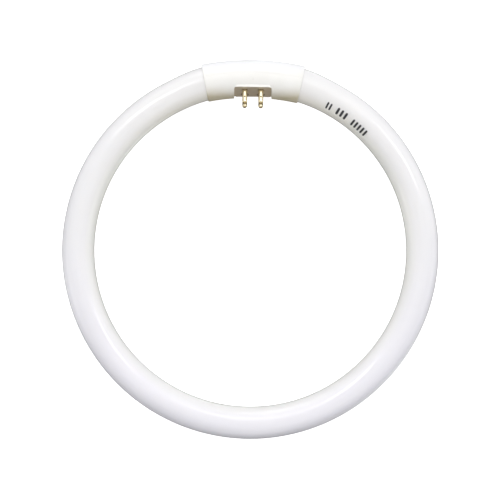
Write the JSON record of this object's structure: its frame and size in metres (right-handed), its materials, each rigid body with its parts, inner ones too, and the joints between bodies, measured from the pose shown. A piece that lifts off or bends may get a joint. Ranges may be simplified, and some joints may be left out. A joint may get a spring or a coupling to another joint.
{
  "type": "circular fluorescent tube",
  "caption": "White circular fluorescent tube: a coated glass ring closed by a moulded base, with brass contact pins on a flat pad that points into the ring.",
  "frame": {"origin": "centre of the ring on the tube's mid-plane", "axes": "+Z along the ring's axis, up; +Y from the ring's centre to the middle of the base; the pins point to -Y and up"},
  "size_m": [0.186, 0.1873, 0.0188],
  "materials": {
    "coated_glass": "glossy glass with a white coating inside",
    "base_plastic": "smooth moulded white plastic",
    "pin_brass": "bright drawn brass",
    "lead_wire": "bare drawn wire"
  },
  "bodies": {
    "root": {"glass_tube": "coated_glass", "base_inner_shell": "base_plastic", "base_outer_shell": "base_plastic", "pin_upper_left": "pin_brass", "lead_wire_upper_left": "lead_wire", "pin_upper_right": "pin_brass", "lead_wire_upper_right": "lead_wire", "pin_lower_left": "pin_brass", "lead_wire_lower_left": "lead_wire", "pin_lower_right": "pin_brass", "lead_wire_lower_right": "lead_wire"}
  },
  "joints": []
}
